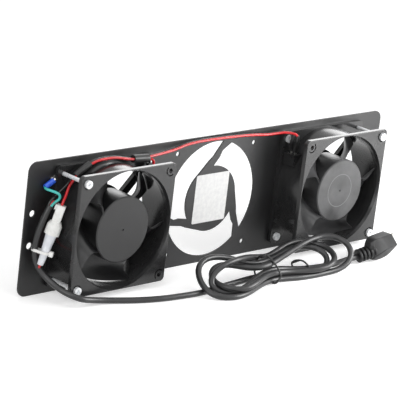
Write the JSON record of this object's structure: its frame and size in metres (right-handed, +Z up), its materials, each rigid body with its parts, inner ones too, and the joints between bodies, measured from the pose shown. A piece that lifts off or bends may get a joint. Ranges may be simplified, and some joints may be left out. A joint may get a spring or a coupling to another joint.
{
  "type": "rack fan tray",
  "caption": "Flat black rack panel with swept guard openings cut into the sheet, axial fans bolted behind the guards, their wiring and a tied mains cord with plug.",
  "frame": {"origin": "centre of the four rack holes, on the panel's rear face, where it meets the rack's rails", "axes": "+X along the panel, to the right seen from the fan side; +Y out of the plain front face, so the fans stand out towards -Y; +Z up"},
  "size_m": [0.4826, 0.1091, 0.1324],
  "materials": {
    "panel_paint": "satin black powder coat on steel sheet",
    "sticker_paper": "matt white film, bare",
    "housing_plastic": "fine-grained black moulded plastic",
    "impeller_plastic": "smooth dark moulded plastic",
    "lamination_steel": "stacked electrical steel",
    "copper_wire": "enamelled copper",
    "sinter_bronze": "porous bronze",
    "tinned_terminal": "tinned",
    "rotor_steel": "bare steel",
    "shaft_steel": "ground steel",
    "zinc_fastener": "bright zinc plate",
    "red_insulation": "glossy PVC",
    "black_insulation": "glossy PVC",
    "green_insulation": "glossy PVC",
    "sleeve_rubber": "matt sleeve",
    "holder_nylon": "white nylon",
    "holder_tube_nylon": "milky translucent nylon",
    "crimp_blue": "blue vinyl",
    "tie_nylon": "natural nylon",
    "cord_jacket": "satin PVC jacket",
    "twist_tie_wire": "coated wire",
    "plug_moulding": "matt moulded PVC",
    "pin_nickel": "nickel plate"
  },
  "bodies": {
    "root": {"panel": "panel_paint", "guard_sticker": "sticker_paper", "fuse_holder_cap": "holder_nylon", "fuse_holder_tube": "holder_tube_nylon", "ring_terminal": "tinned_terminal", "crimp_sleeve": "crimp_blue", "earth_lead": "green_insulation", "red_lead": "red_insulation", "black_lead": "black_insulation", "lead_sleeve": "sleeve_rubber", "splice_sleeve": "sleeve_rubber", "right_red_lead": "red_insulation", "right_black_lead": "black_insulation", "left_red_lead": "red_insulation", "left_black_lead": "black_insulation", "tail_lead": "red_insulation", "cable_tie": "tie_nylon", "mains_cord": "cord_jacket", "cord_hank": "cord_jacket", "left_twist_tie": "twist_tie_wire", "right_twist_tie": "twist_tie_wire", "plug_body": "plug_moulding", "plug_relief": "plug_moulding", "plug_pins": "pin_nickel", "left_housing": "housing_plastic", "left_stator_core": "lamination_steel", "left_windings": "copper_wire", "left_bearings": "sinter_bronze", "left_spade_tabs": "tinned_terminal", "left_receptacles": "sleeve_rubber", "left_long_screws": "zinc_fastener", "left_short_screws": "zinc_fastener", "left_nuts": "zinc_fastener", "right_housing": "housing_plastic", "right_stator_core": "lamination_steel", "right_windings": "copper_wire", "right_bearings": "sinter_bronze", "right_spade_tabs": "tinned_terminal", "right_receptacles": "sleeve_rubber", "right_long_screws": "zinc_fastener", "right_short_screws": "zinc_fastener", "right_nuts": "zinc_fastener"},
    "left_rotor": {"left_impeller": "impeller_plastic", "left_rotor_ring": "rotor_steel", "left_shaft": "shaft_steel", "left_shaft_clip": "shaft_steel"},
    "right_rotor": {"right_impeller": "impeller_plastic", "right_rotor_ring": "rotor_steel", "right_shaft": "shaft_steel", "right_shaft_clip": "shaft_steel"}
  },
  "joints": [
    {"name": "left_fan_spin", "type": "hinge", "parent": "root", "child": "left_rotor", "pos_m": [-0.15, -0.02, 0], "axis": [0, 1, 0], "continuous": true},
    {"name": "right_fan_spin", "type": "hinge", "parent": "root", "child": "right_rotor", "pos_m": [0.15, -0.02, 0], "axis": [0, 1, 0], "continuous": true}
  ]
}
